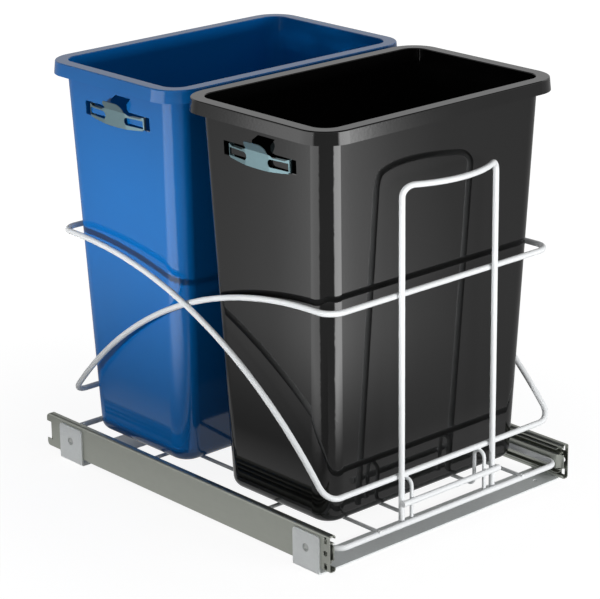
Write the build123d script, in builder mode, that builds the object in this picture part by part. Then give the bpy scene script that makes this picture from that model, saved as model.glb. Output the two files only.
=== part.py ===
from build123d import *
from math import atan, cos, degrees, radians, sin
import os

os.makedirs("parts", exist_ok=True)

# Pull-out waste unit for a kitchen cabinet. Millimetres. X runs across the cabinet, the handle
# faces -Y, Z is up. The origin is on the cabinet floor, below the middle of the whole unit.

# ---- Slides -------------------------------------------------------------------------------------
slide_length = 533.4
slide_height = 45.7
slide_thickness = 12.7
slide_sheet = 1.2
slide_span = 402.5            # outer face to outer face of the two fixed members
slide_base_z = 7.1
slide_bend = 3.0
lip_depth = 9.6               # how far the curled flange of the outer member reaches inwards
lip_drop = 4.6
web_gap = 1.1                 # room between two webs, with the ball retainer inside it
ball_diameter = 4.3
ball_clearance = 0.15
outer_ball_room = 0.9         # from the balls to the curled flange of the outer member
inner_ball_room = 0.7
middle_bend = 2.0
middle_lip_setback = 0.7      # from the inner member's web to the intermediate member's flanges
middle_lip_room = 1.2
middle_start = 9.0
inner_start = 4.5
inner_rear_setback = 8.0

catch_tab_start = 0.7         # tab cut from the inner member's web and set outwards
catch_tab_offset = 4.6
catch_tab_half_height = 9.0
catch_tab_flat = 3.3
catch_tab_slope = 4.5
catch_tab_bend = 2.0
catch_tab_slit = 0.6

retainer_sheet = 0.5
retainer_start = 140.0
retainer_length = 250.0
retainer_bend = 0.8
retainer_rim = 0.3
balls_per_row = 5
ball_pocket = 4.8

rear_notch_depth = 11.0
rear_notch_height = 23.4
lug_corner = 7.0
punch_setback = 7.0
punch_offset = 16.2
punch_width = 5.4
punch_height = 8.2
punch_corner = 1.0
web_hole_diameter = 6.6

# ---- Floor plates and tabs ----------------------------------------------------------------------
plate_sheet = 2.0
plate_width = 45.0
plate_bend = 2.6
tab_height = 47.9
tab_corner = 4.5
front_plate_start = 15.5
rear_plate_setback = 29.1
rivet_diameter = 9.8
rivet_recess = 0.6
rivet_clearance = 0.1
rivet_z = 28.0
screw_hole_diameter = 5.0
screw_hole_x = 175.0
screw_hole_offset = 7.7       # from the middle line of its plate, towards the near end of the unit

# ---- Wire carriage ------------------------------------------------------------------------------
heavy_radius = 3.6
thin_radius = 2.3
weld_gap = 0.05
front_bar_y = 3.9             # from the front end of the outer members, as all wire places
bar_z = 29.6
frame_corner = 15.0

hoop_low_z = 84.5
rising_hoop_high_z = 303.5
falling_hoop_high_z = 307.0
hoop_clearance = 0.5          # from the rising hoop to the rear bin in front of it
hoop_to_rear_bar = 11.5
hoop_corner = 20.0
rising_hoop_half_width = 187.2

handle_half_width = 76.0
handle_top_z = 438.4
handle_bow_out = 23.0
handle_corner = 15.0
cross_bar_z = 54.8
cross_bar_overhang = 5.0

long_wire_x = 120.0
loop_wire_x = 61.0
long_wire_z = 32.3
loop_bend = 8.1
cross_wire_spread = 107.0     # from the middle of the base frame to each cross wire

# ---- Bins ---------------------------------------------------------------------------------------
bin_top_z = 517.1
rim_length = 382.6
rim_width = 248.8
rim_corner = 37.7
rim_overhang = 14.2
rim_plate = 2.4
rim_edge_round = 1.5
rim_mouth_round = 1.0
skirt_height = 15.8
skirt_flare = 1.6
bin_wall = 2.2
bin_taper_length = 16.8
bin_taper_width = 19.8
bin_foot_corner = 26.0
bin_foot_round = 14.0
bin_seat_gap = 0.3
rim_front_y = 13.9
bin_gap = 8.9                 # between the rims of the two bins

# ---- Bag clips ----------------------------------------------------------------------------------
clip_z = 464.5
clip_sheet = 0.8
clip_gap = 0.4
clip_half_length = 51.8
clip_hook = 5.4
clip_bend = 1.5
clip_bow = 3.0                # how far the flat middle stands off the wall
clip_flat = 20.0              # half length of the flat middle
clip_top = 8.0
clip_tip_top = 7.5
clip_end_drop = 8.7
clip_hook_drop = 7.4
clip_mid_drop = 12.0
prong_top = 5.2
prong_start = 27.0
prong_end = 45.0
prong_flange = 5.0
window_start = 18.0
window_end = 50.0
window_bottom = -6.2
window_top = 3.4
tab_half_width = 18.0
tab_reach = 13.0
tab_lean = 30.0
tab_round = 8.0

slot_half_length = 61.5
slot_bottom = -8.0
slot_top = 9.0
tongue_end = 50.2
tongue_root = 22.0
tongue_bottom = -4.6
tongue_top = 3.9
opening_top = 26.5            # finger opening above the tab
opening_left = -12.0
opening_corner = -1.0
opening_right = 27.5
opening_waist = 19.5
opening_waist_top = 18.5
opening_waist_bottom = 12.0

# ---- Sizes that follow from the ones above -------------------------------------------------------
upright_y = front_bar_y + 2 * heavy_radius + weld_gap
hoop_front_y = upright_y + 2 * heavy_radius + weld_gap
handle_reach = handle_bow_out + heavy_radius - upright_y
front_y = -(slide_length - handle_reach) / 2
slide_z = slide_base_z + slide_height / 2
outer_x = slide_span / 2
inner_face_x = outer_x - slide_thickness
side_wire_x = inner_face_x - heavy_radius - weld_gap
ball_radius = ball_diameter / 2

outer_half = slide_height / 2
outer_race = outer_half - slide_sheet - ball_clearance - ball_radius
middle_half = outer_race - ball_radius - ball_clearance
inner_race = middle_half - slide_sheet - ball_clearance - ball_radius
inner_half = inner_race - ball_radius - ball_clearance
middle_web = slide_sheet + web_gap
inner_lip = middle_web + slide_sheet + web_gap
outer_ball_depth = lip_depth - slide_sheet - ball_radius - outer_ball_room
middle_lip_depth = slide_thickness - middle_lip_setback
inner_ball_depth = middle_lip_depth - slide_sheet - ball_radius - inner_ball_room
rear_plate_start = slide_length - rear_plate_setback - plate_width

foot_half_length = rim_length / 2 - rim_overhang - bin_taper_length
foot_half_width = rim_width / 2 - rim_overhang - bin_taper_width
foot_z = long_wire_z + thin_radius + bin_seat_gap
body_height = bin_top_z - foot_z
wall_lean = degrees(atan(bin_taper_length / body_height))
front_bin_y = rim_front_y + rim_width / 2
bin_pitch = rim_width + bin_gap
rear_wall_offset = foot_half_width + bin_taper_width * (rising_hoop_high_z - foot_z) / body_height
hoop_rear_y = front_bin_y + bin_pitch + rear_wall_offset + hoop_clearance + heavy_radius
rear_bar_y = hoop_rear_y + hoop_to_rear_bar
frame_middle_y = (front_bar_y + rear_bar_y) / 2


def wall_x(z):
    """Distance of the outside of a bin's short wall from the middle, at height z."""
    return foot_half_length + bin_taper_length * (z - foot_z) / body_height


def slide_plane(y):
    """Cross-section plane of the left slide: X is depth from its outer face, Y is height."""
    return Plane(origin=(-outer_x, front_y + y, slide_z), x_dir=(1, 0, 0), z_dir=(0, -1, 0))


def channel(points, start, length, sheet, bend):
    """Bent sheet profile along the left slide, its outer surface through the points."""
    with BuildPart() as profile:
        with BuildSketch(slide_plane(start)):
            with BuildLine():
                FilletPolyline(*points, radius=bend)
                offset(amount=sheet, side=Side.LEFT)
            make_face()
        extrude(amount=-length)
    return profile.part


def mirrored(part):
    with BuildPart() as other:
        mirror(part, about=Plane.YZ)
    return other.part


def swept(path, radius):
    with BuildPart() as rod:
        with BuildSketch(Plane(origin=path @ 0, z_dir=path % 0)):
            Circle(radius)
        sweep(path=path)
    return rod.part


def bin_loft(wall, bottom_z, top_z, corner):
    """Tapered body of a bin, or its hollow, inset by the wall."""
    with BuildPart() as body:
        for z, radius in ((bottom_z, bin_foot_corner), (top_z, corner)):
            rise = (z - foot_z) / body_height
            with BuildSketch(Plane.XY.offset(z)):
                RectangleRounded(
                    2 * (foot_half_length + bin_taper_length * rise - wall),
                    2 * (foot_half_width + bin_taper_width * rise - wall),
                    radius - wall,
                )
        loft()
        fillet(body.faces().sort_by(Axis.Z)[0].edges(), bin_foot_round - wall)
    return body.part


# ---- Outer slide members -------------------------------------------------------------------------
outer_points = (
    (lip_depth, outer_half - lip_drop),
    (lip_depth, outer_half),
    (0, outer_half),
    (0, -outer_half),
    (lip_depth, -outer_half),
    (lip_depth, -outer_half + lip_drop),
)
with BuildPart() as left_outer_member:
    add(channel(outer_points, 0, slide_length, slide_sheet, slide_bend))
    web_face = Plane(origin=(-outer_x, front_y, slide_z), x_dir=(0, 1, 0), z_dir=(1, 0, 0))
    with BuildSketch(web_face):
        with Locations((punch_setback, punch_offset), (punch_setback, -punch_offset)):
            RectangleRounded(punch_width, punch_height, punch_corner)
        with Locations((punch_setback, 0)):
            Circle(web_hole_diameter / 2)
        with Locations((slide_length - rear_notch_depth / 2, 0)):
            Rectangle(rear_notch_depth, rear_notch_height)
        for plate_start in (front_plate_start, rear_plate_start):
            with Locations((plate_start + plate_width / 2, rivet_z - slide_z)):
                Circle(rivet_diameter / 2 + rivet_clearance)
    extrude(amount=slide_sheet, mode=Mode.SUBTRACT)
    with BuildSketch(web_face):
        for side in (1, -1):
            with BuildLine():
                corner = (slide_length, side * outer_half)
                Line(corner, (slide_length - lug_corner, side * outer_half))
                RadiusArc(
                    (slide_length - lug_corner, side * outer_half),
                    (slide_length, side * (outer_half - lug_corner)),
                    side * lug_corner,
                )
                Line((slide_length, side * (outer_half - lug_corner)), corner)
            make_face()
    extrude(amount=slide_thickness, mode=Mode.SUBTRACT)
left_outer_member.part.label = "left_outer_member"
right_outer_member = mirrored(left_outer_member.part)
right_outer_member.label = "right_outer_member"

# ---- Intermediate and inner slide members --------------------------------------------------------
middle_points = (
    (middle_lip_depth, inner_race + middle_lip_room),
    (middle_lip_depth, middle_half),
    (middle_web, middle_half),
    (middle_web, -middle_half),
    (middle_lip_depth, -middle_half),
    (middle_lip_depth, -inner_race - middle_lip_room),
)
left_intermediate_member = channel(
    middle_points,
    middle_start,
    slide_length - middle_start - rear_notch_depth / 2,
    slide_sheet,
    middle_bend,
)
left_intermediate_member.label = "left_intermediate_member"
right_intermediate_member = mirrored(left_intermediate_member)
right_intermediate_member.label = "right_intermediate_member"

inner_points = (
    (inner_lip, -inner_half),
    (slide_thickness, -inner_half),
    (slide_thickness, inner_half),
    (inner_lip, inner_half),
)
inner_length = slide_length - inner_start - inner_rear_setback
catch_tab_depth = slide_thickness - catch_tab_offset
catch_tab_bent_y = catch_tab_start + catch_tab_flat
catch_tab_root_y = catch_tab_bent_y + catch_tab_slope
with BuildPart() as left_inner_member:
    add(channel(inner_points, inner_start, inner_length, slide_sheet, slide_bend))
    with Locations((slide_thickness - outer_x, front_y + inner_start, slide_z)):
        Box(
            4 * slide_sheet,
            2 * (catch_tab_root_y - inner_start),
            2 * (catch_tab_half_height + catch_tab_slit),
            mode=Mode.SUBTRACT,
        )
    with BuildSketch(Plane((-outer_x, front_y, slide_z))):
        with BuildLine():
            FilletPolyline(
                (catch_tab_depth, catch_tab_start),
                (catch_tab_depth, catch_tab_bent_y),
                (slide_thickness, catch_tab_root_y),
                (slide_thickness, catch_tab_root_y + catch_tab_bend),
                radius=catch_tab_bend,
            )
            offset(amount=slide_sheet, side=Side.LEFT)
        make_face()
    extrude(amount=catch_tab_half_height, both=True)
left_inner_member.part.label = "left_inner_member"
right_inner_member = mirrored(left_inner_member.part)
right_inner_member.label = "right_inner_member"


# ---- Ball retainers and balls --------------------------------------------------------------------
def retainer(race, web, ball_depth):
    """U-shaped strip that spans both races of one side, with a pocket for each ball."""
    web_face = web - web_gap / 2 - retainer_sheet / 2
    edge = ball_depth + ball_pocket / 2 + retainer_rim
    half = race + retainer_sheet / 2
    points = ((edge, half), (web_face, half), (web_face, -half), (edge, -half))
    step = retainer_length / balls_per_row
    with BuildPart() as strip:
        add(channel(points, retainer_start, retainer_length, retainer_sheet, retainer_bend))
        for index in range(balls_per_row):
            y = front_y + retainer_start + (index + 0.5) * step
            with Locations((-outer_x + ball_depth, y, slide_z)):
                Box(ball_pocket, ball_pocket, slide_height, mode=Mode.SUBTRACT)
    return strip.part


def ball_rows(race, ball_depth):
    step = retainer_length / balls_per_row
    with BuildPart() as balls:
        for index in range(balls_per_row):
            y = front_y + retainer_start + (index + 0.5) * step
            for z in (slide_z + race, slide_z - race):
                with Locations((-outer_x + ball_depth, y, z)):
                    Sphere(ball_radius)
    return balls.part


left_outer_retainer = retainer(outer_race, middle_web, outer_ball_depth)
left_outer_retainer.label = "left_outer_retainer"
right_outer_retainer = mirrored(left_outer_retainer)
right_outer_retainer.label = "right_outer_retainer"
left_inner_retainer = retainer(inner_race, inner_lip, inner_ball_depth)
left_inner_retainer.label = "left_inner_retainer"
right_inner_retainer = mirrored(left_inner_retainer)
right_inner_retainer.label = "right_inner_retainer"

left_outer_balls = ball_rows(outer_race, outer_ball_depth)
left_outer_balls.label = "left_outer_balls"
right_outer_balls = mirrored(left_outer_balls)
right_outer_balls.label = "right_outer_balls"
left_inner_balls = ball_rows(inner_race, inner_ball_depth)
left_inner_balls.label = "left_inner_balls"
right_inner_balls = mirrored(left_inner_balls)
right_inner_balls.label = "right_inner_balls"


# ---- Floor plates with upturned tabs, and the rivets through tab and web -------------------------
def floor_plate(start, hole_side):
    edge_x = outer_x + plate_sheet
    middle = front_y + start + plate_width / 2
    section = Plane(origin=(0, front_y + start, 0), x_dir=(1, 0, 0), z_dir=(0, -1, 0))
    with BuildPart() as plate:
        with BuildSketch(section):
            with BuildLine():
                FilletPolyline(
                    (-edge_x, tab_height), (-edge_x, 0), (edge_x, 0), (edge_x, tab_height),
                    radius=plate_bend,
                )
                offset(amount=plate_sheet, side=Side.LEFT)
            make_face()
        extrude(amount=-plate_width)
        top_edges = plate.edges().filter_by(Axis.X).group_by(Axis.Z)[-1]
        fillet(top_edges, tab_corner)
        with BuildSketch(Plane.XY):
            with Locations((0, middle + hole_side * screw_hole_offset)):
                with GridLocations(2 * screw_hole_x, 1, 2, 1):
                    Circle(screw_hole_diameter / 2)
        extrude(amount=plate_sheet, mode=Mode.SUBTRACT)
        with BuildSketch(Plane(origin=(-edge_x, middle, rivet_z), x_dir=(0, 1, 0), z_dir=(1, 0, 0))):
            Circle(rivet_diameter / 2 + rivet_clearance)
        extrude(amount=2 * edge_x, mode=Mode.SUBTRACT)
    return plate.part


front_floor_plate = floor_plate(front_plate_start, -1)
front_floor_plate.label = "front_floor_plate"
rear_floor_plate = floor_plate(rear_plate_start, 1)
rear_floor_plate.label = "rear_floor_plate"

rivet_length = plate_sheet + slide_sheet - rivet_recess
with BuildPart() as tab_rivets:
    for start in (front_plate_start, rear_plate_start):
        for side in (-1, 1):
            rivet_x = side * (outer_x - slide_sheet + rivet_length / 2)
            with Locations((rivet_x, front_y + start + plate_width / 2, rivet_z)):
                Cylinder(rivet_diameter / 2, rivet_length, rotation=(0, 90, 0))
tab_rivets.part.label = "tab_rivets"

# ---- Base frame ----------------------------------------------------------------------------------
with BuildPart() as base_frame:
    with BuildLine(Plane.XY.offset(bar_z)) as half_frame:
        FilletPolyline(
            (0, front_y + front_bar_y),
            (side_wire_x, front_y + front_bar_y),
            (side_wire_x, front_y + rear_bar_y),
            (0, front_y + rear_bar_y),
            radius=frame_corner,
        )
    add(swept(half_frame.line, heavy_radius))
    mirror(about=Plane.YZ)
base_frame.part.label = "base_frame"


# ---- Guard hoops ---------------------------------------------------------------------------------
def rising_hoop_part(half_width, high_z):
    """Wire loop, low in front and high behind, its sides single arcs level at the top."""
    near_y = front_y + hoop_front_y
    far_y = front_y + hoop_rear_y
    slope = 2 * atan((high_z - hoop_low_z) / (far_y - near_y))
    start = Vector(half_width, near_y, hoop_low_z)
    climb = Vector(0, cos(slope), sin(slope))
    inwards = Vector(-1, 0, 0)
    foot = start + climb * hoop_corner
    radius = (high_z - foot.Z) / (1 - cos(slope))
    centre = foot + Vector(0, sin(slope), -cos(slope)) * radius
    crown = Vector(half_width, far_y - hoop_corner, high_z)
    near_centre = start + inwards * hoop_corner + climb * hoop_corner
    near_middle = near_centre - (inwards + climb).normalized() * hoop_corner
    side_middle = centre + Vector(0, -sin(slope / 2), cos(slope / 2)) * radius
    far_centre = crown + inwards * hoop_corner
    far_middle = far_centre + Vector(1, 1, 0).normalized() * hoop_corner
    far_end = Vector(half_width - hoop_corner, far_y, high_z)
    with BuildLine() as half_hoop:
        Line(Vector(0, near_y, hoop_low_z), start + inwards * hoop_corner)
        ThreePointArc(start + inwards * hoop_corner, near_middle, foot)
        ThreePointArc(foot, side_middle, crown)
        ThreePointArc(crown, far_middle, far_end)
        Line(far_end, Vector(0, far_y, high_z))
    half = swept(half_hoop.line, heavy_radius)
    with BuildPart() as hoop:
        add(half)
        mirror(half, about=Plane.YZ)
    return hoop.part


rising_hoop = rising_hoop_part(rising_hoop_half_width, rising_hoop_high_z)
rising_hoop.label = "rising_hoop"
with BuildPart() as falling_hoop:
    turn_plane = Plane(origin=(0, front_y + (hoop_front_y + hoop_rear_y) / 2, 0), z_dir=(0, 1, 0))
    falling_hoop_half_width = rising_hoop_half_width - 2 * heavy_radius - weld_gap
    narrow_hoop = rising_hoop_part(falling_hoop_half_width, falling_hoop_high_z)
    mirror(narrow_hoop, about=turn_plane)
falling_hoop.part.label = "falling_hoop"

# ---- Handle bow and its cross bar ----------------------------------------------------------------
bow_turn = 2 * atan(handle_bow_out / (handle_half_width + handle_corner))
bow_radius = (handle_half_width - handle_corner * cos(bow_turn)) / sin(bow_turn)
bow_heading = Vector(-cos(bow_turn), -sin(bow_turn), 0)
shoulder = Vector(handle_half_width, front_y + upright_y, handle_top_z)
shoulder_low = shoulder - Vector(0, 0, handle_corner)
shoulder_end = shoulder + bow_heading * handle_corner
shoulder_centre = shoulder_low + bow_heading * handle_corner
shoulder_middle = shoulder_centre + (Vector(0, 0, 1) - bow_heading).normalized() * handle_corner
bow_middle = Vector(0, front_y + upright_y - handle_bow_out, handle_top_z)
bow_centre = bow_middle + Vector(0, bow_radius, 0)
bow_quarter = bow_centre + Vector(sin(bow_turn / 2), -cos(bow_turn / 2), 0) * bow_radius
with BuildLine() as half_bow:
    Line(Vector(handle_half_width, front_y + upright_y, bar_z - heavy_radius), shoulder_low)
    ThreePointArc(shoulder_low, shoulder_middle, shoulder_end)
    ThreePointArc(shoulder_end, bow_quarter, bow_middle)
half_handle = swept(half_bow.line, heavy_radius)
with BuildPart() as handle_bow:
    add(half_handle)
    mirror(half_handle, about=Plane.YZ)
handle_bow.part.label = "handle_bow"

with BuildPart() as handle_cross_bar:
    with Locations((0, front_y + front_bar_y, cross_bar_z)):
        Cylinder(heavy_radius, 2 * (handle_half_width + cross_bar_overhang), rotation=(0, 90, 0))
handle_cross_bar.part.label = "handle_cross_bar"

# ---- Thin wires ----------------------------------------------------------------------------------
cross_wire_z = long_wire_z - 2 * thin_radius - weld_gap
loop_front_y = front_bar_y + heavy_radius + thin_radius + weld_gap
loop_top_z = hoop_low_z - heavy_radius - thin_radius - weld_gap
lap_start = front_bar_y - heavy_radius
lap_end = 2 * frame_middle_y - lap_start

with BuildPart() as left_long_wire:
    with Locations((-long_wire_x, front_y + frame_middle_y, long_wire_z)):
        Cylinder(thin_radius, lap_end - lap_start, rotation=(90, 0, 0))
    for bar_y in (front_bar_y, rear_bar_y):
        with Locations((-long_wire_x, front_y + bar_y, bar_z)):
            Cylinder(
                heavy_radius + weld_gap,
                4 * thin_radius,
                rotation=(0, 90, 0),
                mode=Mode.SUBTRACT,
            )
left_long_wire.part.label = "left_long_wire"
right_long_wire = mirrored(left_long_wire.part)
right_long_wire.label = "right_long_wire"

loop_back_y = loop_front_y + 2 * loop_bend
loop_end_y = 2 * frame_middle_y - loop_front_y
loop_rear_y = 2 * frame_middle_y - loop_back_y
loop_arc_z = loop_top_z - loop_bend
loop_wire_plane = Plane(origin=(-loop_wire_x, front_y, 0), x_dir=(0, 1, 0), z_dir=(1, 0, 0))
with BuildLine(loop_wire_plane) as loop_path:
    Line((loop_front_y, bar_z), (loop_front_y, loop_arc_z))
    ThreePointArc(
        (loop_front_y, loop_arc_z),
        (loop_front_y + loop_bend, loop_top_z),
        (loop_back_y, loop_arc_z),
    )
    FilletPolyline(
        (loop_back_y, loop_arc_z),
        (loop_back_y, long_wire_z),
        (loop_rear_y, long_wire_z),
        (loop_rear_y, loop_arc_z),
        radius=loop_bend,
    )
    ThreePointArc(
        (loop_rear_y, loop_arc_z),
        (loop_rear_y + loop_bend, loop_top_z),
        (loop_end_y, loop_arc_z),
    )
    Line((loop_end_y, loop_arc_z), (loop_end_y, bar_z))
left_loop_wire = swept(loop_path.line, thin_radius)
left_loop_wire.label = "left_loop_wire"
right_loop_wire = mirrored(left_loop_wire)
right_loop_wire.label = "right_loop_wire"

cross_wires = {}
for name, spread in (("front", -cross_wire_spread), ("rear", cross_wire_spread)):
    with BuildPart() as cross_wire:
        with Locations((0, front_y + frame_middle_y + spread, cross_wire_z)):
            Cylinder(thin_radius, 2 * (side_wire_x - heavy_radius - weld_gap), rotation=(0, 90, 0))
    cross_wire.part.label = name + "_cross_wire"
    cross_wires[name] = cross_wire.part

# ---- Bins ----------------------------------------------------------------------------------------
rim_z = bin_top_z - rim_plate
skirt_z = bin_top_z - skirt_height
body_corner = rim_corner - rim_overhang
body = bin_loft(0, foot_z, bin_top_z, body_corner)
hollow = bin_loft(bin_wall, foot_z + bin_wall, bin_top_z, body_corner)

wall_normal = (-cos(radians(wall_lean)), 0, -sin(radians(wall_lean)))
wall_up = (-sin(radians(wall_lean)), 0, cos(radians(wall_lean)))
clip_origin = (-wall_x(clip_z), front_y + front_bin_y, clip_z)
clip_face = Plane(origin=clip_origin, x_dir=(0, -1, 0), z_dir=wall_normal)

with BuildPart() as front_bin:
    for z, grow in ((skirt_z, skirt_flare), (bin_top_z, 0)):
        with BuildSketch(Plane.XY.offset(z)):
            with Locations((0, front_y + front_bin_y)):
                RectangleRounded(rim_length + 2 * grow, rim_width + 2 * grow, rim_corner + grow)
    loft()
    fillet(front_bin.edges().group_by(Axis.Z)[-1], rim_edge_round)
    for z, grow in ((skirt_z, skirt_flare), (rim_z, skirt_flare * rim_plate / skirt_height)):
        inset = rim_plate - grow
        with BuildSketch(Plane.XY.offset(z)):
            with Locations((0, front_y + front_bin_y)):
                RectangleRounded(
                    rim_length - 2 * inset,
                    rim_width - 2 * inset,
                    rim_corner - inset,
                )
    loft(mode=Mode.SUBTRACT)
    with Locations((0, front_y + front_bin_y, 0)):
        add(body)
        add(hollow, mode=Mode.SUBTRACT)
    mouth = front_bin.faces().sort_by(Axis.Z)[-1].inner_wires()[0]
    fillet(mouth.edges(), rim_mouth_round)
    with BuildSketch(clip_face):
        for side in (-1, 1):
            end_middle = side * (slot_half_length + tongue_end) / 2
            with Locations((end_middle, (slot_bottom + slot_top) / 2)):
                Rectangle(slot_half_length - tongue_end, slot_top - slot_bottom)
            slit_middle = side * (tongue_end + tongue_root) / 2
            with Locations((slit_middle, (slot_bottom + tongue_bottom) / 2)):
                Rectangle(tongue_end - tongue_root, tongue_bottom - slot_bottom)
        with Locations((0, (tongue_top + slot_top) / 2)):
            Rectangle(2 * tongue_end, slot_top - tongue_top)
        with BuildLine():
            Polyline(
                (opening_left, tongue_top),
                (opening_left, opening_waist_top),
                (opening_corner, opening_top),
                (opening_right, opening_top),
                (opening_waist, opening_waist_top),
                (opening_waist, opening_waist_bottom),
                (opening_waist + opening_waist_bottom - slot_top, slot_top),
                (opening_waist, tongue_top),
                close=True,
            )
        make_face()
    extrude(amount=-4 * bin_wall, both=True, mode=Mode.SUBTRACT)
front_bin.part.label = "front_bin"

with BuildPart() as rear_bin:
    with Locations((0, bin_pitch, 0)):
        add(front_bin.part)
rear_bin.part.label = "rear_bin"

# ---- Bag clips -----------------------------------------------------------------------------------
clip_section = Plane(origin=clip_origin, x_dir=(0, 1, 0), z_dir=wall_up)
clip_side = Plane(origin=clip_origin, x_dir=wall_normal, z_dir=(0, 1, 0))
clip_face_out = clip_gap + clip_sheet
clip_front = clip_face_out + clip_bow
hook_depth = -(bin_wall + clip_gap + clip_sheet)


def prong_depth(x):
    """Depth of the outer surface of a prong, which slopes from the flat middle to the clip's end."""
    return clip_face_out + clip_bow * (clip_half_length - x) / (clip_half_length - clip_flat)


with BuildPart() as clip_band:
    with BuildSketch(clip_section.offset(-clip_mid_drop)):
        with BuildLine():
            FilletPolyline(
                (clip_half_length - clip_hook, hook_depth),
                (clip_half_length, hook_depth),
                (clip_half_length, clip_face_out),
                (clip_flat, clip_front),
                (-clip_flat, clip_front),
                (-clip_half_length, clip_face_out),
                (-clip_half_length, hook_depth),
                (clip_hook - clip_half_length, hook_depth),
                radius=clip_bend,
            )
            offset(amount=clip_sheet, side=Side.LEFT)
        make_face()
    extrude(amount=clip_mid_drop + clip_top)
    with BuildSketch(clip_face):
        with BuildLine():
            reach = clip_half_length + clip_sheet
            drop_end = clip_half_length - clip_sheet - clip_bend
            Polyline(
                (drop_end, -clip_end_drop),
                (drop_end, -clip_hook_drop),
                (reach, -clip_hook_drop),
                (reach, clip_tip_top),
                (drop_end, clip_tip_top),
                (prong_end, prong_top),
                (prong_start, prong_top),
                (clip_flat, clip_top),
                (-clip_flat, clip_top),
                (-prong_start, prong_top),
                (-prong_end, prong_top),
                (-drop_end, clip_tip_top),
                (-reach, clip_tip_top),
                (-reach, -clip_hook_drop),
                (-drop_end, -clip_hook_drop),
                (-drop_end, -clip_end_drop),
            )
            ThreePointArc(
                (-drop_end, -clip_end_drop),
                (0, -clip_mid_drop),
                (drop_end, -clip_end_drop),
            )
        make_face()
        window_height = window_top - window_bottom
        window_z = (window_top + window_bottom) / 2
        window_x = (window_start + window_end) / 2
        square_start = window_start + window_height / 2
        for side in (-1, 1):
            with Locations((side * window_x, window_z)):
                SlotOverall(window_end - window_start, window_height, mode=Mode.SUBTRACT)
            with Locations((side * (square_start + window_end) / 2, window_z)):
                Rectangle(window_end - square_start, window_height, mode=Mode.SUBTRACT)
    extrude(amount=4 * bin_wall, both=True, mode=Mode.INTERSECT)
    with BuildSketch(clip_section.offset(prong_top - clip_sheet)):
        for side in (-1, 1):
            with BuildLine():
                Polyline(
                    (side * prong_start, prong_depth(prong_start) - clip_sheet / 2),
                    (side * prong_end, prong_depth(prong_end) - clip_sheet / 2),
                    (side * prong_end, prong_depth(prong_end) - prong_flange),
                    (side * prong_start, prong_depth(prong_start) - prong_flange),
                    close=True,
                )
            make_face()
    extrude(amount=clip_sheet)

lean = radians(tab_lean)
tab_foot = (clip_front, clip_top - clip_sheet)
tab_tip = (clip_front + tab_reach * sin(lean), clip_top + tab_reach * cos(lean))
with BuildPart() as clip_tab:
    with BuildSketch(clip_side):
        with BuildLine():
            Polyline(tab_foot, (clip_front, clip_top), tab_tip)
            offset(amount=clip_sheet, side=Side.LEFT)
        make_face()
    extrude(amount=tab_half_width, both=True)
    tip_corners = clip_tab.edges().filter_by(GeomType.LINE).filter_by(
        lambda edge: abs(edge.length - clip_sheet) < 0.01
    )
    fillet(tip_corners.group_by(Axis.Z)[-1], tab_round)

with BuildPart() as front_bag_clip:
    add(clip_band.part)
    add(clip_tab.part)
front_bag_clip.part.label = "front_bag_clip"
with BuildPart() as rear_bag_clip:
    with Locations((0, bin_pitch, 0)):
        add(front_bag_clip.part)
rear_bag_clip.part.label = "rear_bag_clip"

pieces = (
    left_outer_member.part,
    right_outer_member,
    front_floor_plate,
    rear_floor_plate,
    tab_rivets.part,
    left_intermediate_member,
    right_intermediate_member,
    left_outer_retainer,
    right_outer_retainer,
    left_outer_balls,
    right_outer_balls,
    left_inner_retainer,
    right_inner_retainer,
    left_inner_balls,
    right_inner_balls,
    left_inner_member.part,
    right_inner_member,
    base_frame.part,
    rising_hoop,
    falling_hoop.part,
    handle_bow.part,
    handle_cross_bar.part,
    left_long_wire.part,
    right_long_wire,
    left_loop_wire,
    right_loop_wire,
    cross_wires["front"],
    cross_wires["rear"],
    front_bin.part,
    rear_bin.part,
    front_bag_clip.part,
    rear_bag_clip.part,
)
for piece in pieces:
    export_step(piece, "parts/" + piece.label + ".step")
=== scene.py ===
from math import cos, pi, radians, sin

import bmesh
import bpy
from bpy.props import FloatProperty, FloatVectorProperty, PointerProperty
from bpy.types import Operator, Panel, PropertyGroup
from mathutils import Matrix, Vector


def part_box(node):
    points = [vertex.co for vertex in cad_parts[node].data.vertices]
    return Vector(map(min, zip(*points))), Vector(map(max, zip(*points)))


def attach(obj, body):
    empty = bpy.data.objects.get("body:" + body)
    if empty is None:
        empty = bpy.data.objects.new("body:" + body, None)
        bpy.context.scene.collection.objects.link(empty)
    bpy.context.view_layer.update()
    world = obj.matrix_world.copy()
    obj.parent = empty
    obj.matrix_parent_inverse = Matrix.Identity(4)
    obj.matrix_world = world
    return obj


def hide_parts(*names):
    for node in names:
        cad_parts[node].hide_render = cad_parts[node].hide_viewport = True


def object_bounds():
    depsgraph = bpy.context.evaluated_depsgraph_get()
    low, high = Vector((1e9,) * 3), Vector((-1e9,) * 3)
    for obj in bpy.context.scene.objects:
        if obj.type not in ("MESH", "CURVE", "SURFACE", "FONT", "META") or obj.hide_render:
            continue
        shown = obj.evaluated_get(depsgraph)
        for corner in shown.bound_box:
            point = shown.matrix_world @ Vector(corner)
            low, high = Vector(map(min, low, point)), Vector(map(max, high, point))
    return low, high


bl_info = {
    "name": "Pull-Out Waste Unit",
    "version": (1, 0, 0),
    "blender": (4, 5, 0),
    "location": "3D View > Sidebar > Waste Unit",
    "description": "Finishes, welds and studio for a pull-out unit with two waste bins",
    "category": "Object",
}

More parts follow.
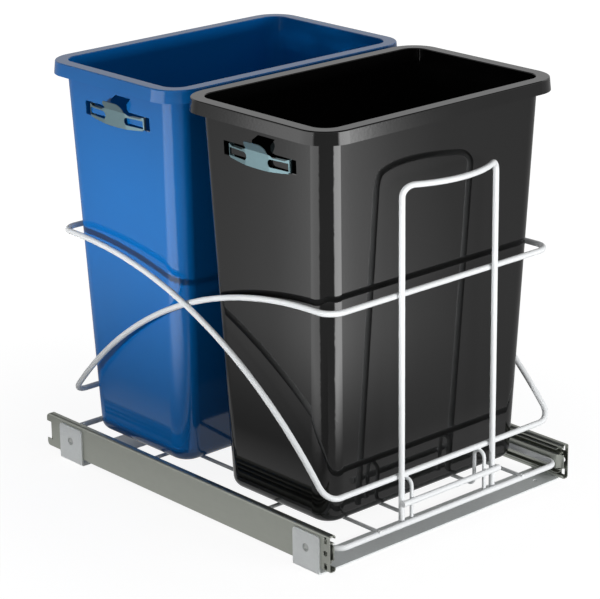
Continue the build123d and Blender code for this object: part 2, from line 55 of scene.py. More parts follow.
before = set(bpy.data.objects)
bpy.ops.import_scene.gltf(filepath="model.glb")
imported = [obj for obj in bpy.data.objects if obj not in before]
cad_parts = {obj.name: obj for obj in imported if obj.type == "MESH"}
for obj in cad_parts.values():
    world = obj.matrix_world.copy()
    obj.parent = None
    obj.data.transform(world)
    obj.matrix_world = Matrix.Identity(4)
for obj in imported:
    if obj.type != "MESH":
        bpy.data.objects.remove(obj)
cad_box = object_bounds()

SIDES = (-1, 1)

# ---- CAD nodes by finish ------------------------------------------------------------------------
PLASTIC_NODES = {"front_bin": "black_bin", "rear_bin": "blue_bin"}
WIRE_NODES = (
    "base_frame", "rising_hoop", "falling_hoop", "handle_bow", "handle_cross_bar",
    "left_long_wire", "right_long_wire", "left_loop_wire", "right_loop_wire",
    "front_cross_wire", "rear_cross_wire",
)
SLIDE_NODES = (
    "left_outer_member", "right_outer_member",
    "left_intermediate_member", "right_intermediate_member",
    "left_inner_member", "right_inner_member",
)
RETAINER_NODES = (
    "left_outer_retainer", "right_outer_retainer",
    "left_inner_retainer", "right_inner_retainer",
)
BALL_NODES = (
    "left_outer_balls", "right_outer_balls", "left_inner_balls", "right_inner_balls",
)
PLATE_NODES = ("front_floor_plate", "rear_floor_plate")
CLIP_NODES = ("front_bag_clip", "rear_bag_clip")

# ---- Rivet heads, in metres ---------------------------------------------------------------------
RIVET_SINK = 0.0012
RIVET_FACETS = 24
HEAD_ROUND_DEPTH = 0.0003
HEAD_ROUND_WIDTH = 0.0004
# Points down the dish, as shares of the head's radius and of the dish's depth.
DISH_POINTS = ((0.78, 0.0), (0.72, 0.25), (0.56, 0.85), (0.40, 1.0), (0.0, 1.0))
MERGE_DISTANCE = 1e-6

# ---- Camera, solved from the straight edges in the photograph -----------------------------------
CAMERA_PLACE = (-1.9159, -2.1221, 1.2049)
CAMERA_YAW, CAMERA_PITCH, CAMERA_ROLL = radians(41.95), radians(18.92), radians(-0.72)
FILM_WIDTH = 36
CLIP_START, CLIP_END = 0.05, 60

# ---- Lamps: name, place, aim, size in metres, spread in degrees ---------------------------------
LAMPS = (
    ("key_lamp", (-2.1, -0.1, 0.30), (-0.17, -0.02, 0.35), (0.9, 0.14), 20),
    ("low_lamp", (-1.7, -0.1, 0.06), (-0.2, -0.1, 0.008), (1.2, 0.04), 7),
    ("fill_lamp", (0.4, -2.4, 0.45), (0, -0.25, 0.24), (1.5, 0.5), 90),
)

# ---- Floor and surround, in metres --------------------------------------------------------------
FLOOR_REACH = 12
FLOOR_DROP = 0.0001
SHADOW_SHARE = 0.22
WHITE_FROM, WHITE_TO = 0.35, 1.0
NEAR_WHITE = 0.90
CEILING_HEIGHTS = (0.42, 0.58)
MIRRORED_SURROUND = 0.62
MIRRORED_CEILING = 0.05

# ---- Painted reflection: floor glow that only glossy rays see, mirrored by the bins -------------
# Two bands of this painted reflection run past the unit's near corner: one for the left walls,
# one for the front walls. Each is given by points of (place across the bands, level).
BANDS_ACROSS = (1.0, 0.905, 0.0)
LEFT_REFLECTION_BAND = (
    (-0.6, 2.0), (-0.42, 1.75), (-0.36, 1.5), (-0.32, 1.1),
    (-0.26, 0.72), (-0.17, 0.55), (-0.06, 0.47), (0.2, 0.42),
)
FRONT_REFLECTION_BAND = (
    (-0.6, 5.5), (-0.42, 4.6), (-0.385, 3.6), (-0.34, 2.2),
    (-0.28, 1.3), (-0.17, 0.72), (-0.06, 0.46), (0.2, 0.4),
)
REFLECTION_BAND_PEAK = 5.5
# A dark wedge of painted reflection opens outwards from the near corner, between the two bands.
OUTWARDS = (-0.67, -0.74, 0.0)
SIDEWAYS = (0.74, -0.67, 0.0)
CORNER_OUT, CORNER_SIDE = 0.281, 0.032
LEAST_SIDE = 0.001
WEDGE_SLANTS = (0.9, 1.3)
WEDGE_REFLECTION_LEVEL = 0.3
# Close to the unit the painted reflection goes from light to dim, and further out it takes on the
# bands.
HALF_WIDTH, HALF_LENGTH = 0.2, 0.27
DIM_FROM, DIM_TO = 0.06, 0.13
NEAR_REFLECTION_LEVEL = 0.52
LEFT_DIM_REFLECTION, FRONT_DIM_REFLECTION = 0.2, 0.38
BANDS_FROM, BANDS_TO = 0.12, 0.44


# ---- Settings -----------------------------------------------------------------------------------
def colour(name, text, value):
    return FloatVectorProperty(
        name=name, description=text, default=value, size=3, min=0, max=1, subtype="COLOR"
    )


def share(name, text, value):
    return FloatProperty(
        name=name, description=text, default=value, min=0, max=1, subtype="FACTOR"
    )


def measure(name, text, value, unit="NONE"):
    return FloatProperty(name=name, description=text, default=value, min=0, unit=unit)


def length(name, text, value):
    return measure(name, text, value, "LENGTH")


class FinishSettings(PropertyGroup):
    blue: colour("Blue Plastic", "Colour of the rear bin", (0.003, 0.160, 0.520))
    black: colour("Black Plastic", "Colour of the front bin", (0.004, 0.004, 0.004))
    plastic_roughness: share("Plastic Roughness", "Gloss of the moulded bins", 0.06)
    plastic_grain: length("Plastic Grain", "Size of the orange peel on the bins", 0.0035)
    white: colour("White Coating", "Colour of the coated wire", (0.86, 0.88, 0.89))
    coat_roughness: share("Coating Roughness", "Gloss of the coated wire", 0.38)
    slide: colour("Slide Zinc", "Colour of the plated slides", (0.50, 0.52, 0.47))
    slide_roughness: share("Slide Roughness", "Gloss of the plated slides", 0.42)
    plate: colour("Plate Zinc", "Colour of the floor plates", (0.86, 0.89, 0.89))
    plate_roughness: share("Plate Roughness", "Gloss of the floor plates", 0.42)
    rivet: colour("Rivet Zinc", "Colour of the tab rivets", (0.60, 0.62, 0.61))
    clip: colour("Clip Zinc", "Colour of the bag clips", (0.20, 0.31, 0.34))
    clip_roughness: share("Clip Roughness", "Gloss of the bag clips", 0.36)
    ball: colour("Ball Steel", "Colour of the bearing balls", (0.72, 0.73, 0.74))


class DetailSettings(PropertyGroup):
    heavy_radius: length("Heavy Wire Radius", "Radius of the frame wire", 0.0036)
    thin_radius: length("Thin Wire Radius", "Radius of the floor wire", 0.0023)
    bead_length: length("Weld Length", "Half length of a weld bead", 0.0032)
    bead_width: length("Weld Width", "Half width of a weld bead", 0.0019)
    dish_depth: length("Rivet Dish", "Depth of the dished rivet head", 0.0014)


class StudioSettings(PropertyGroup):
    floor_share: share("Floor", "Share of light that the floor gives back to the unit", 0.50)
    white_level: measure("White Level", "Brightness of the white surround", 1.0)
    sky_level: measure("Sky Level", "Even light from round the unit", 0.19)
    ceiling_level: measure("Ceiling Level", "Even light from overhead", 0.30)
    key_power: measure("Key Power", "Soft lamp on the left", 0.88, "POWER")
    low_power: measure("Low Power", "Strip lamp near the floor on the left", 0.095, "POWER")
    fill_power: measure("Fill Power", "Large lamp in front", 12.5, "POWER")
    lens: measure("Lens", "Focal length of the camera", 147.0, "CAMERA")


# ---- Shader node groups -------------------------------------------------------------------------
FLOAT, VECTOR, COLOUR = "NodeSocketFloat", "NodeSocketVector", "NodeSocketColor"
# Streaks of rolled sheet: their pitch per metre along X, Y and Z, long along the slides' way.
STREAK_PITCH = (900.0, 22.0, 900.0)
PATCH_SHARE = 0.35


class Nodes:
    """Short way to add nodes to one tree and join them."""

    def __init__(self, tree):
        self.tree = tree

    def add(self, kind, inputs=None, **settings):
        node = self.tree.nodes.new("ShaderNode" + kind)
        for name, value in settings.items():
            setattr(node, name, value)
        for socket, value in (inputs or {}).items():
            if isinstance(value, bpy.types.NodeSocket):
                self.tree.links.new(value, node.inputs[socket])
            else:
                node.inputs[socket].default_value = value
        return node

    def maths(self, operation, first, second=0.0):
        return self.add("Math", {0: first, 1: second}, operation=operation).outputs[0]

    def mix(self, factor, first, second):
        return self.add("Mix", {0: factor, 2: first, 3: second}).outputs[0]

    def dot(self, place, direction):
        inputs = {0: place, 1: direction}
        return self.add("VectorMath", inputs, operation="DOT_PRODUCT").outputs["Value"]

    def noise(self, vector, scale, detail, distortion=0.0):
        inputs = {
            "Vector": vector, "Scale": scale, "Detail": detail, "Distortion": distortion,
        }
        return self.add("TexNoise", inputs).outputs["Fac"]

    def ramp(self, value, value_range, level_range=(0.0, 1.0), shape="LINEAR"):
        """Level that goes from one end of its range to the other as the value does."""
        inputs = {
            "Value": value,
            "From Min": value_range[0],
            "From Max": value_range[1],
            "To Min": level_range[0],
            "To Max": level_range[1],
        }
        return self.add("MapRange", inputs, interpolation_type=shape).outputs[0]

    def curve(self, value, points, peak):
        """Level that follows points of (value, level), straight from one to the next."""
        start, end = points[0][0], points[-1][0]
        stops = self.add("ValToRGB", {"Fac": self.ramp(value, (start, end))})
        elements = stops.color_ramp.elements
        while len(elements) < len(points):
            elements.new(0.5)
        for element, (place, level) in zip(elements, points):
            element.position = (place - start) / (end - start)
            element.color = (level / peak, level / peak, level / peak, 1)
        return self.maths("MULTIPLY", stops.outputs[0], peak)


def surface_group(name, extra_inputs):
    """Empty group with the inputs and outputs that every surface finish shares."""
    group = bpy.data.node_groups.new(name, "ShaderNodeTree")
    shared = (
        ("Vector", VECTOR, None),
        ("Colour", COLOUR, (0.5, 0.5, 0.5, 1)),
        ("Colour Spread", FLOAT, 0.1),
        ("Roughness", FLOAT, 0.3),
        ("Roughness Spread", FLOAT, 0.1),
    )
    for label, kind, value in shared + extra_inputs:
        socket = group.interface.new_socket(label, in_out="INPUT", socket_type=kind)
        if value is not None:
            socket.default_value = value
    for label, kind in (("Colour", COLOUR), ("Roughness", FLOAT), ("Height", FLOAT)):
        group.interface.new_socket(label, in_out="OUTPUT", socket_type=kind)
    return group


def spread_outputs(nodes, given, mask, height):
    """Colour and roughness that go up and down with a mask from 0 to 1."""
    swing = nodes.maths("SUBTRACT", mask, 0.5)
    lift = nodes.maths("MULTIPLY", swing, given.outputs["Colour Spread"])
    shade = nodes.add(
        "HueSaturation",
        {"Color": given.outputs["Colour"], "Value": nodes.maths("ADD", lift, 1.0)},
    )
    blur = nodes.maths("MULTIPLY", swing, given.outputs["Roughness Spread"])
    rough = nodes.maths("ADD", blur, given.outputs["Roughness"])
    out = nodes.tree.nodes.new("NodeGroupOutput")
    nodes.tree.links.new(shade.outputs[0], out.inputs["Colour"])
    nodes.tree.links.new(rough, out.inputs["Roughness"])
    nodes.tree.links.new(height, out.inputs["Height"])


def moulded_skin_group():
    """Polished mould surface: slow flow marks in the colour and a fine orange peel."""
    group = surface_group("Moulded Skin", (("Grain Size", FLOAT, 0.003),))
    nodes = Nodes(group)
    given = group.nodes.new("NodeGroupInput")
    grain_scale = nodes.maths("DIVIDE", 1.0, given.outputs["Grain Size"])
    flow = nodes.noise(given.outputs["Vector"], scale=9.0, detail=3.0, distortion=0.6)
    peel = nodes.noise(given.outputs["Vector"], scale=grain_scale, detail=2.0)
    spread_outputs(nodes, given, flow, peel)
    return group


def rolled_sheet_group():
    """Plated strip: long streaks along the rolling direction over small zinc patches."""
    group = surface_group("Rolled Sheet", (("Patch Size", FLOAT, 0.006),))
    nodes = Nodes(group)
    given = group.nodes.new("NodeGroupInput")
    stretched = nodes.add(
        "VectorMath", {0: given.outputs["Vector"], 1: STREAK_PITCH}, operation="MULTIPLY"
    )
    streaks = nodes.noise(stretched.outputs[0], scale=1.0, detail=4.0)
    patch_scale = nodes.maths("DIVIDE", 1.0, given.outputs["Patch Size"])
    patches = nodes.add(
        "TexVoronoi",
        {"Vector": given.outputs["Vector"], "Scale": patch_scale, "Randomness": 1.0},
        feature="SMOOTH_F1",
    )
    mixed = nodes.mix(PATCH_SHARE, streaks, patches.outputs["Distance"])
    spread_outputs(nodes, given, mixed, streaks)
    return group


def sprayed_coat_group():
    """Baked coating on wire: soft pebble surface with faint thick and thin places."""
    group = surface_group("Sprayed Coat", (("Pebble Size", FLOAT, 0.0012),))
    nodes = Nodes(group)
    given = group.nodes.new("NodeGroupInput")
    pebble_scale = nodes.maths("DIVIDE", 1.0, given.outputs["Pebble Size"])
    thickness = nodes.noise(given.outputs["Vector"], scale=45.0, detail=3.0)
    pebbles = nodes.noise(given.outputs["Vector"], scale=pebble_scale, detail=1.5)
    spread_outputs(nodes, given, thickness, pebbles)
    return group


def finish_material(name, group, values, bump, shader):
    """Material with one Principled shader, its colour, roughness and bump from a group.

    Values are the group's own, bump is a strength and a distance, and shader holds the
    constants that stay on the Principled shader.
    """
    material = bpy.data.materials.new(name)
    material.use_nodes = True
    nodes = Nodes(material.node_tree)
    principled = material.node_tree.nodes["Principled BSDF"]
    for socket, value in shader.items():
        principled.inputs[socket].default_value = value
    coordinates = nodes.add("TexCoord")
    finish = nodes.add("Group", node_tree=group)
    material.node_tree.links.new(coordinates.outputs["Object"], finish.inputs["Vector"])
    for socket, value in values.items():
        finish.inputs[socket].default_value = value
    strength, distance = bump
    relief = nodes.add(
        "Bump",
        {"Strength": strength, "Distance": distance, "Height": finish.outputs["Height"]},
    )
    for source, target in (
        (finish.outputs["Colour"], "Base Color"),
        (finish.outputs["Roughness"], "Roughness"),
        (relief.outputs["Normal"], "Normal"),
    ):
        material.node_tree.links.new(source, principled.inputs[target])
    return material


def node_group(name, builder):
    """Shader node group of that name, built the first time that it is asked for."""
    return bpy.data.node_groups.get(name) or builder()


def dress(node_names, material):
    """Gives CAD nodes a new material in place of their plain one."""
    for name in node_names:
        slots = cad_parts[name].material_slots
        if not slots:
            raise RuntimeError(name + " has no material slot")
        for slot in slots:
            slot.material = material


def rgba(value):
    return (*value, 1.0)


# ---- New pieces ---------------------------------------------------------------------------------
def new_piece(name, mesh_data, material, body):
    """Turns a bmesh into a smooth-shaded object that rides on a CAD body."""
    for face in mesh_data.faces:
        face.smooth = True
    mesh = bpy.data.meshes.new(name)
    mesh_data.to_mesh(mesh)
    mesh_data.free()
    mesh.materials.append(material)
    piece = bpy.data.objects.new(name, mesh)
    bpy.context.scene.collection.objects.link(piece)
    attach(piece, body)
    return piece


def add_rivet(mesh_data, side, y, z, profile):
    """One rivet: its profile of (distance out, radius) turned round a line along X."""
    points = [mesh_data.verts.new((side * out, y + radius, z)) for out, radius in profile]
    edges = [mesh_data.edges.new(pair) for pair in zip(points, points[1:])]
    bmesh.ops.spin(
        mesh_data,
        geom=points + edges,
        cent=(0, y, z),
        axis=(1, 0, 0),
        angle=2 * pi,
        steps=RIVET_FACETS,
        use_merge=True,
    )


def add_bead(mesh_data, place, along, details):
    """One weld bead: a sphere drawn out along the wires that it joins."""
    turn = Vector(along).to_track_quat("X", "Z").to_matrix().to_4x4()
    size = Matrix.Diagonal(
        (details.bead_length, details.bead_width, details.bead_width, 1)
    )
    bmesh.ops.create_uvsphere(
        mesh_data,
        u_segments=12,
        v_segments=8,
        radius=1.0,
        matrix=Matrix.Translation(place) @ turn @ size,
    )


# ---- Operators ----------------------------------------------------------------------------------
class WASTE_OT_finish_bins(Operator):
    """Gives both bins their glossy moulded plastic"""

    bl_idname = "waste.finish_bins"
    bl_label = "Finish Bins"

    def execute(self, context):
        finishes = context.scene.waste_finishes
        skin = node_group("Moulded Skin", moulded_skin_group)
        for node, slot_name in PLASTIC_NODES.items():
            plastic = finishes.black if slot_name == "black_bin" else finishes.blue
            material = finish_material(
                slot_name + "_plastic",
                skin,
                {
                    "Colour": rgba(plastic),
                    "Colour Spread": 0.12,
                    "Roughness": finishes.plastic_roughness,
                    "Roughness Spread": 0.05,
                    "Grain Size": finishes.plastic_grain,
                },
                (0.03, 0.0004),
                {"IOR": 1.55},
            )
            dress((node,), material)
        return {"FINISHED"}


class WASTE_OT_finish_clips(Operator):
    """Gives both bag clips their bluish spring steel"""

    bl_idname = "waste.finish_clips"
    bl_label = "Finish Bag Clips"

    def execute(self, context):
        finishes = context.scene.waste_finishes
        material = finish_material(
            "clip_zinc",
            node_group("Rolled Sheet", rolled_sheet_group),
            {
                "Colour": rgba(finishes.clip),
                "Colour Spread": 0.18,
                "Roughness": finishes.clip_roughness,
                "Roughness Spread": 0.12,
                "Patch Size": 0.004,
            },
            (0.08, 0.0002),
            {"Metallic": 0.85},
        )
        dress(CLIP_NODES, material)
        return {"FINISHED"}


class WASTE_OT_finish_slides(Operator):
    """Gives slide members, ball retainers and balls their plated steel"""

    bl_idname = "waste.finish_slides"
    bl_label = "Finish Slides"

    def execute(self, context):
        finishes = context.scene.waste_finishes
        sheet = node_group("Rolled Sheet", rolled_sheet_group)
        zinc = finish_material(
            "slide_zinc",
            sheet,
            {
                "Colour": rgba(finishes.slide),
                "Colour Spread": 0.16,
                "Roughness": finishes.slide_roughness,
                "Roughness Spread": 0.10,
                "Patch Size": 0.009,
            },
            (0.10, 0.0002),
            {"Metallic": 1.0},
        )
        dress(SLIDE_NODES, zinc)
        dress(RETAINER_NODES, zinc)
        steel = finish_material(
            "ball_bright_steel",
            sheet,
            {
                "Colour": rgba(finishes.ball),
                "Colour Spread": 0.10,
                "Roughness": 0.12,
                "Roughness Spread": 0.06,
                "Patch Size": 0.002,
            },
            (0.03, 0.0001),
            {"Metallic": 1.0},
        )
        dress(BALL_NODES, steel)
        return {"FINISHED"}


class WASTE_OT_finish_plates(Operator):
    """Gives the floor plates their light matt zinc"""

    bl_idname = "waste.finish_plates"
    bl_label = "Finish Floor Plates"

    def execute(self, context):
        finishes = context.scene.waste_finishes
        material = finish_material(
            "plate_zinc",
            node_group("Rolled Sheet", rolled_sheet_group),
            {
                "Colour": rgba(finishes.plate),
                "Colour Spread": 0.14,
                "Roughness": finishes.plate_roughness,
                "Roughness Spread": 0.12,
                "Patch Size": 0.005,
            },
            (0.12, 0.0002),
            {"Metallic": 0.1},
        )
        dress(PLATE_NODES, material)
        return {"FINISHED"}


class WASTE_OT_finish_wires(Operator):
    """Gives every wire of the carriage its white baked coating"""

    bl_idname = "waste.finish_wires"
    bl_label = "Finish Wires"

    def execute(self, context):
        finishes = context.scene.waste_finishes
        material = finish_material(
            "white_coating",
            node_group("Sprayed Coat", sprayed_coat_group),
            {
                "Colour": rgba(finishes.white),
                "Colour Spread": 0.05,
                "Roughness": finishes.coat_roughness,
                "Roughness Spread": 0.10,
                "Pebble Size": 0.0014,
            },
            (0.10, 0.0003),
            {"IOR": 1.5},
        )
        dress(WIRE_NODES, material)
        return {"FINISHED"}


class WASTE_OT_add_rivet_heads(Operator):
    """Replaces the plain rivets by rivets with dished heads"""

    bl_idname = "waste.add_rivet_heads"
    bl_label = "Add Rivet Heads"

    def execute(self, context):
        rivets = bmesh.new()
        low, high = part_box("tab_rivets")
        middle_z = (low.z + high.z) / 2
        radius = (high.z - low.z) / 2
        for side, face in ((-1, -low.x), (1, high.x)):
            profile = self.profile(face, radius, context.scene.waste_details.dish_depth)
            for y in (low.y + radius, high.y - radius):
                add_rivet(rivets, side, y, middle_z, profile)
        bmesh.ops.remove_doubles(rivets, verts=rivets.verts, dist=MERGE_DISTANCE)
        bmesh.ops.recalc_face_normals(rivets, faces=rivets.faces)
        material = finish_material(
            "rivet_zinc",
            node_group("Rolled Sheet", rolled_sheet_group),
            {
                "Colour": rgba(context.scene.waste_finishes.rivet),
                "Colour Spread": 0.12,
                "Roughness": 0.34,
                "Roughness Spread": 0.10,
                "Patch Size": 0.003,
            },
            (0.10, 0.0002),
            {"Metallic": 0.85},
        )
        piece = new_piece(
            "dished_rivets", rivets, material, "floor_mount",
        )
        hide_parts("tab_rivets")
        return {"FINISHED"}

    @staticmethod
    def profile(face, radius, dish_depth):
        """Half outline of a rivet as (distance out, radius), from its sunk end to its dish."""
        web = -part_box("left_outer_member")[0].x
        sunk_end = web - RIVET_SINK
        outline = [
            (sunk_end, 0.0),
            (sunk_end, radius),
            (face - HEAD_ROUND_DEPTH, radius),
            (face, radius - HEAD_ROUND_WIDTH),
        ]
        for reach, depth in DISH_POINTS:
            outline.append((face - dish_depth * depth, radius * reach))
        return outline


class WASTE_OT_add_weld_beads(Operator):
    """Adds the weld beads where wires of the carriage meet"""

    bl_idname = "waste.add_weld_beads"
    bl_label = "Add Weld Beads"

    def execute(self, context):
        details = context.scene.waste_details
        mesh_data = bmesh.new()
        for place, along in self.joints(details.heavy_radius, details.thin_radius):
            add_bead(mesh_data, place, along, details)
        new_piece(
            "weld_beads", mesh_data, bpy.data.materials["white_coating"], "carriage",
        )
        return {"FINISHED"}

    @staticmethod
    def joints(heavy, thin):
        """Place of each weld and the way that its bead is drawn out, from the wires' boxes."""
        across, up, deep = (1, 0, 0), (0, 0, 1), (0, 1, 0)
        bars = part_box("base_frame")
        bar_z = (bars[0].z + bars[1].z) / 2
        front_y = bars[0].y + heavy
        rear_y = bars[1].y - heavy
        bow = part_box("handle_bow")
        upright_x = bow[1].x - heavy
        upright_y = bow[1].y - heavy
        cross_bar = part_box("handle_cross_bar")
        cross_z = (cross_bar[0].z + cross_bar[1].z) / 2
        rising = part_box("rising_hoop")
        hoop_front_y = rising[0].y + heavy
        hoop_rear_y = rising[1].y - heavy
        hoop_low_z = rising[0].z + heavy
        hoop_high_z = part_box("falling_hoop")[1].z - heavy
        long_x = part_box("right_long_wire")[1].x - thin
        loop_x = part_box("right_loop_wire")[1].x - thin
        beads = []
        for side in SIDES:
            x = side * upright_x
            beads += [
                ((x, (front_y + upright_y) / 2, bar_z), across),
                ((x, (front_y + upright_y) / 2, cross_z), across),
                ((x, (hoop_front_y + upright_y) / 2, hoop_low_z), across),
                ((x, (hoop_front_y + upright_y) / 2, hoop_high_z), across),
            ]
            x = side * loop_x
            beads += [
                ((x, front_y + heavy, bar_z), up),
                ((x, front_y + heavy, cross_z), up),
                ((x, rear_y - heavy, bar_z), up),
                ((x, hoop_front_y, hoop_low_z - heavy), across),
                ((x, hoop_rear_y, hoop_low_z - heavy), across),
            ]
            x = side * long_x
            beads += [
                ((x, front_y, bar_z + heavy), deep),
                ((x, rear_y, bar_z + heavy), deep),
            ]
            for name in ("front_cross_wire", "rear_cross_wire"):
                low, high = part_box(name)
                y = (low.y + high.y) / 2
                beads += [
                    ((side * long_x, y, high.z), deep),
                    ((side * loop_x, y, high.z), deep),
                    ((side * high.x, y, (low.z + high.z) / 2), deep),
                ]
        return beads


class WASTE_OT_set_studio(Operator):
    """Builds the white floor, the surround, the lamps and the camera"""

    bl_idname = "waste.set_studio"
    bl_label = "Set Studio"

    def execute(self, context):
        scene = context.scene
        studio = scene.waste_studio
        self.add_floor(scene, studio)
        self.set_surround(scene, studio)
        powers = (studio.key_power, studio.low_power, studio.fill_power)
        for lamp, power in zip(LAMPS, powers):
            self.add_lamp(scene, power, *lamp)
        self.add_camera(scene, studio)
        scene.view_settings.view_transform = "Standard"
        return {"FINISHED"}

    @staticmethod
    def seen_directly(nodes, path):
        """One for what the camera sees by itself or through glass, nought for all else."""
        return nodes.maths(
            "MAXIMUM", path.outputs["Is Camera Ray"], path.outputs["Is Transmission Ray"]
        )

    @staticmethod
    def painted_reflection_level(nodes, path):
        """Painted reflection: floor glow that only glossy rays see, two bands of light beside a
        dark wedge.
        """
        place = nodes.add("NewGeometry").outputs["Position"]
        across = nodes.dot(place, BANDS_ACROSS)
        left_band = nodes.curve(across, LEFT_REFLECTION_BAND, REFLECTION_BAND_PEAK)
        front_band = nodes.curve(across, FRONT_REFLECTION_BAND, REFLECTION_BAND_PEAK)
        side = nodes.dot(place, SIDEWAYS)
        in_front = nodes.maths("GREATER_THAN", side, CORNER_SIDE)
        band = nodes.mix(in_front, left_band, front_band)

        out_from_corner = nodes.maths("SUBTRACT", nodes.dot(place, OUTWARDS), CORNER_OUT)
        from_corner = nodes.maths("ABSOLUTE", nodes.maths("SUBTRACT", side, CORNER_SIDE))
        from_corner = nodes.maths("MAXIMUM", from_corner, LEAST_SIDE)
        slant = nodes.maths("DIVIDE", out_from_corner, from_corner)
        wedge = nodes.ramp(slant, WEDGE_SLANTS, shape="SMOOTHSTEP")
        far = nodes.mix(wedge, band, WEDGE_REFLECTION_LEVEL)

        parts = nodes.add("SeparateXYZ", {0: place})
        past_x = nodes.maths("SUBTRACT", nodes.maths("ABSOLUTE", parts.outputs["X"]), HALF_WIDTH)
        past_y = nodes.maths("SUBTRACT", nodes.maths("ABSOLUTE", parts.outputs["Y"]), HALF_LENGTH)
        past = nodes.maths("MAXIMUM", past_x, past_y)
        dim = nodes.mix(in_front, LEFT_DIM_REFLECTION, FRONT_DIM_REFLECTION)
        close = nodes.ramp(past, (DIM_FROM, DIM_TO), (NEAR_REFLECTION_LEVEL, dim))
        away = nodes.ramp(past, (BANDS_FROM, BANDS_TO), shape="SMOOTHSTEP")
        level = nodes.mix(away, close, far)
        return nodes.maths("MULTIPLY", level, path.outputs["Is Glossy Ray"])

    def floor_material(self, studio):
        """White to the camera but for the unit's shadow, grey to the light, and painted reflection
        bands to gloss.
        """
        material = bpy.data.materials.new("studio_floor")
        material.use_nodes = True
        material.node_tree.nodes.clear()
        nodes = Nodes(material.node_tree)
        path = nodes.add("LightPath")
        shown = self.seen_directly(nodes, path)
        tint = nodes.ramp(shown, (0.0, 1.0), (studio.floor_share, SHADOW_SHARE))
        # Glossy rays see no lit floor here, only the painted reflection glow.
        dull = nodes.maths("SUBTRACT", 1.0, path.outputs["Is Glossy Ray"])
        matt = nodes.add("BsdfDiffuse", {"Color": nodes.maths("MULTIPLY", tint, dull)})
        place = nodes.add("NewGeometry").outputs["Position"]
        distance = nodes.add("VectorMath", {0: place}, operation="LENGTH")
        whitening = nodes.ramp(
            distance.outputs["Value"],
            (WHITE_FROM, WHITE_TO),
            (NEAR_WHITE * studio.white_level, studio.white_level),
        )
        shown_level = nodes.maths("MULTIPLY", shown, whitening)
        # White backdrop glow for the camera plus painted reflection glow for glossy rays.
        backdrop_and_reflection_glow = nodes.maths("ADD", shown_level, self.painted_reflection_level(nodes, path))
        glow = nodes.add("Emission", {"Strength": backdrop_and_reflection_glow})
        both = nodes.add("AddShader", {0: matt.outputs[0], 1: glow.outputs[0]})
        nodes.add("OutputMaterial", {"Surface": both.outputs[0]})
        return material

    def add_floor(self, scene, studio):
        grid = bmesh.new()
        bmesh.ops.create_grid(grid, x_segments=1, y_segments=1, size=FLOOR_REACH)
        mesh = bpy.data.meshes.new("studio_floor")
        grid.to_mesh(mesh)
        grid.free()
        mesh.transform(Matrix.Translation((0, 0, cad_box[0].z - FLOOR_DROP)))
        mesh.materials.append(self.floor_material(studio))
        floor = bpy.data.objects.new("studio_floor", mesh)
        scene.collection.objects.link(floor)

    def set_surround(self, scene, studio):
        """White to the camera, and low, even light to the unit, with a darker ceiling in gloss."""
        world = bpy.data.worlds.new("white_surround")
        world.use_nodes = True
        world.node_tree.nodes.clear()
        nodes = Nodes(world.node_tree)
        path = nodes.add("LightPath")
        direction = nodes.add("TexCoord").outputs["Generated"]
        height = nodes.add("SeparateXYZ", {0: direction}).outputs["Z"]
        overhead = nodes.ramp(height, CEILING_HEIGHTS, shape="SMOOTHSTEP")
        lit = nodes.mix(overhead, studio.sky_level, studio.ceiling_level)
        mirrored = nodes.mix(overhead, MIRRORED_SURROUND * studio.white_level, MIRRORED_CEILING)
        unseen = nodes.mix(path.outputs["Is Glossy Ray"], lit, mirrored)
        level = nodes.mix(self.seen_directly(nodes, path), unseen, studio.white_level)
        sky = nodes.add("Background", {"Color": (1, 1, 1, 1), "Strength": level})
        nodes.add("OutputWorld", {"Surface": sky.outputs[0]})
        scene.world = world

    @staticmethod
    def add_lamp(scene, power, name, place, aim, size, spread):
        lamp = bpy.data.lights.new(name, "AREA")
        lamp.shape = "RECTANGLE"
        lamp.size, lamp.size_y = size
        lamp.spread = radians(spread)
        lamp.energy = power
        holder = bpy.data.objects.new(name, lamp)
        holder.location = place
        holder.rotation_mode = "QUATERNION"
        holder.rotation_quaternion = (Vector(aim) - Vector(place)).to_track_quat("-Z", "Y")
        holder.visible_glossy = False
        scene.collection.objects.link(holder)

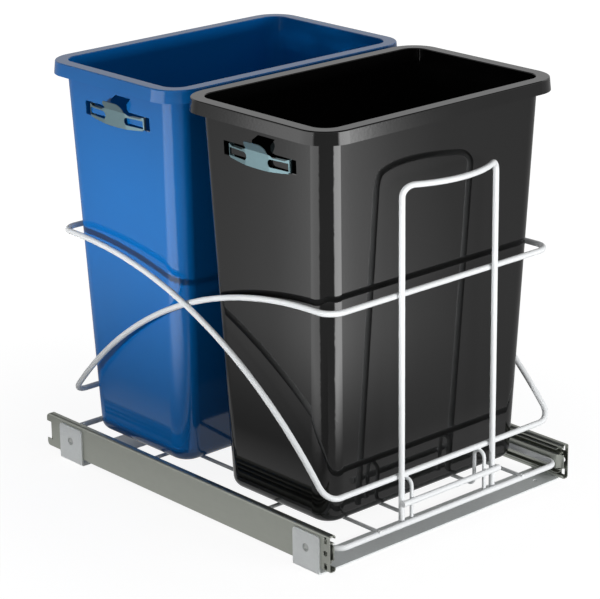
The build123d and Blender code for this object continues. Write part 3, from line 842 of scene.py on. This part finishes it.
    @staticmethod
    def add_camera(scene, studio):
        camera = bpy.data.cameras.new("photo_camera")
        camera.lens = studio.lens
        camera.sensor_width = FILM_WIDTH
        camera.clip_start = CLIP_START
        camera.clip_end = CLIP_END
        level_right = Vector((cos(CAMERA_YAW), -sin(CAMERA_YAW), 0))
        level_ahead = Vector((sin(CAMERA_YAW), cos(CAMERA_YAW), 0))
        ahead = cos(CAMERA_PITCH) * level_ahead - Vector((0, 0, sin(CAMERA_PITCH)))
        level_up = level_right.cross(ahead)
        right = cos(CAMERA_ROLL) * level_right + sin(CAMERA_ROLL) * level_up
        up = cos(CAMERA_ROLL) * level_up - sin(CAMERA_ROLL) * level_right
        turn = Matrix((right, up, -ahead)).transposed().to_4x4()
        holder = bpy.data.objects.new("photo_camera", camera)
        holder.matrix_world = Matrix.Translation(CAMERA_PLACE) @ turn
        scene.collection.objects.link(holder)
        scene.camera = holder


class WASTE_PT_panel(Panel):
    """Lists the steps and settings of the waste unit"""

    bl_idname = "WASTE_PT_panel"
    bl_label = "Waste Unit"
    bl_space_type = "VIEW_3D"
    bl_region_type = "UI"
    bl_category = "Waste Unit"

    def draw(self, context):
        for operator in OPERATORS:
            self.layout.operator(operator.bl_idname)
        for settings in (
            context.scene.waste_finishes,
            context.scene.waste_details,
            context.scene.waste_studio,
        ):
            box = self.layout.box()
            for name in settings.__annotations__:
                box.prop(settings, name)


OPERATORS = (
    WASTE_OT_finish_bins,
    WASTE_OT_finish_clips,
    WASTE_OT_finish_slides,
    WASTE_OT_finish_plates,
    WASTE_OT_finish_wires,
    WASTE_OT_add_rivet_heads,
    WASTE_OT_add_weld_beads,
    WASTE_OT_set_studio,
)
SETTINGS = {
    "waste_finishes": FinishSettings,
    "waste_details": DetailSettings,
    "waste_studio": StudioSettings,
}


def register():
    for group in SETTINGS.values():
        bpy.utils.register_class(group)
    for shown in (*OPERATORS, WASTE_PT_panel):
        bpy.utils.register_class(shown)
    for name, group in SETTINGS.items():
        setattr(bpy.types.Scene, name, PointerProperty(type=group))


def unregister():
    for name in SETTINGS:
        delattr(bpy.types.Scene, name)
    for shown in reversed((*OPERATORS, WASTE_PT_panel)):
        bpy.utils.unregister_class(shown)
    for group in SETTINGS.values():
        bpy.utils.unregister_class(group)


def main():
    register()
    for operator in OPERATORS:
        category, name = operator.bl_idname.split(".")
        getattr(getattr(bpy.ops, category), name)()


if __name__ == "__main__":
    main()
